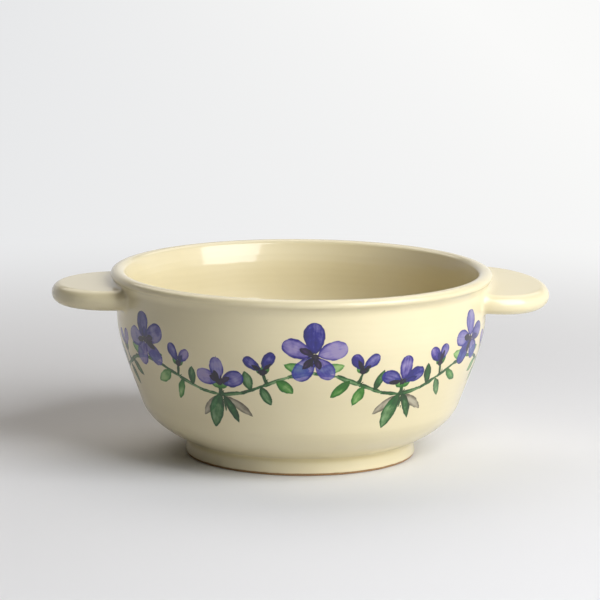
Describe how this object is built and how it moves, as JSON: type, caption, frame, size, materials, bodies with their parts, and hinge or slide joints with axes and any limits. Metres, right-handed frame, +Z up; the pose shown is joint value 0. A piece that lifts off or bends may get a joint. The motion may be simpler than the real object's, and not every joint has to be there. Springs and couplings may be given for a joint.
{
  "type": "lug soup bowl",
  "caption": "Round glazed soup bowl with a rolled rim, a low foot ring and flat rounded lugs on opposite sides for lifting.",
  "frame": {"origin": "centre of the foot ring on the plane that the bowl stands on", "axes": "+Z up along the bowl's axis; +X towards the right lug, so the lugs lie along X"},
  "size_m": [0.1775, 0.1356, 0.0664],
  "materials": {
    "glazed_body": "gloss cream glaze over fired clay, with brush-painted decoration",
    "glazed_rim": "gloss cream glaze, thin over the crest",
    "glazed_foot": "gloss cream glaze down to a bare wiped foot edge",
    "glazed_lugs": "gloss cream glaze",
    "glazed_luting": "gloss cream glaze, pooled in the corner"
  },
  "bodies": {
    "root": {"bowl_body": "glazed_body", "rim_roll": "glazed_rim", "foot_ring": "glazed_foot", "left_lug": "glazed_lugs", "right_lug": "glazed_lugs", "left_luting": "glazed_luting", "right_luting": "glazed_luting"}
  },
  "joints": []
}
